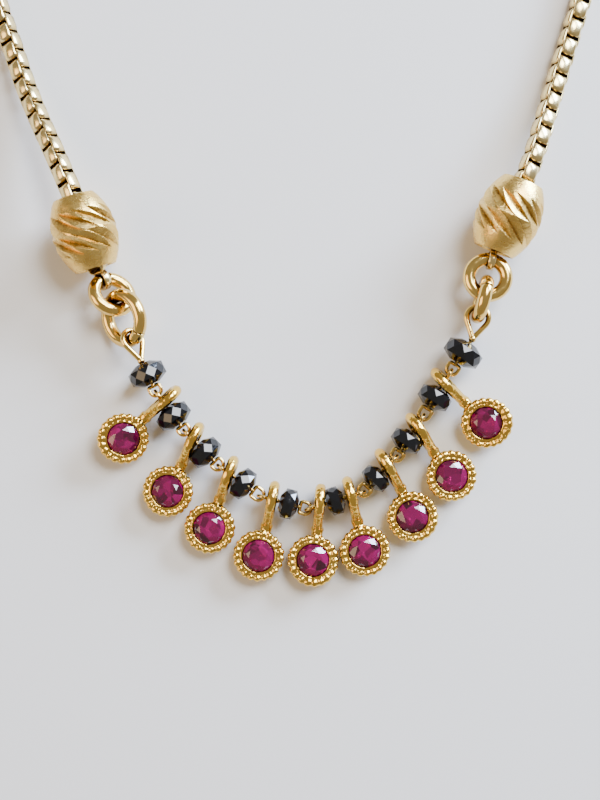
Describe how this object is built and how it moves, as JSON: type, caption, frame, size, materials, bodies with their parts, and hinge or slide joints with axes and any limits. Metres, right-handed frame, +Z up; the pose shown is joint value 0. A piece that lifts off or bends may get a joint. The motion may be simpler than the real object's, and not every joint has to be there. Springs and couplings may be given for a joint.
{
  "type": "mangalsutra necklace",
  "caption": "Necklace with two box chains, gold barrel beads, jump rings and a wired string of black beads carrying drops set with red stones.",
  "frame": {"origin": "on the surface that the necklace lies on, below the middle of the whole piece's bounding box", "axes": "+X to the wearer's left as seen in the picture's right, +Y from the drops to the clasp, +Z up from the surface"},
  "size_m": [0.104, 0.1976, 0.0053],
  "materials": {
    "chain_gold": "pale warm gold plate on small square links, polished, worn soft at the edges",
    "bead_gold": "yellow gold plate with bright diamond cuts between matte ridges",
    "wire_gold": "yellow gold plated wire, drawn and polished, fine scratches",
    "setting_gold": "rich yellow gold plate, cast, softly polished, darker between the grains",
    "black_glass": "opaque black faceted glass, high gloss",
    "ruby": "faceted ruby-red stone, polished, foil-backed in a closed seat"
  },
  "bodies": {
    "root": {"chain_left": "chain_gold", "chain_right": "chain_gold", "clasp": "chain_gold", "gold_bead_left": "bead_gold", "gold_bead_right": "bead_gold", "ring_left_upper": "wire_gold", "ring_right_upper": "wire_gold", "ring_left_lower": "wire_gold", "ring_right_lower": "wire_gold", "black_bead_1": "black_glass", "black_bead_2": "black_glass", "black_bead_3": "black_glass", "black_bead_4": "black_glass", "black_bead_5": "black_glass", "black_bead_6": "black_glass", "black_bead_7": "black_glass", "black_bead_8": "black_glass", "black_bead_9": "black_glass", "black_bead_10": "black_glass", "bead_wire_1": "wire_gold", "bead_wire_2": "wire_gold", "bead_wire_3": "wire_gold", "bead_wire_4": "wire_gold", "bead_wire_5": "wire_gold", "bead_wire_6": "wire_gold", "bead_wire_7": "wire_gold", "bead_wire_8": "wire_gold", "bead_wire_9": "wire_gold", "bead_wire_10": "wire_gold", "setting_1": "setting_gold", "setting_2": "setting_gold", "setting_3": "setting_gold", "setting_4": "setting_gold", "setting_5": "setting_gold", "setting_6": "setting_gold", "setting_7": "setting_gold", "setting_8": "setting_gold", "setting_9": "setting_gold", "stone_1": "ruby", "stone_2": "ruby", "stone_3": "ruby", "stone_4": "ruby", "stone_5": "ruby", "stone_6": "ruby", "stone_7": "ruby", "stone_8": "ruby", "stone_9": "ruby"}
  },
  "joints": []
}
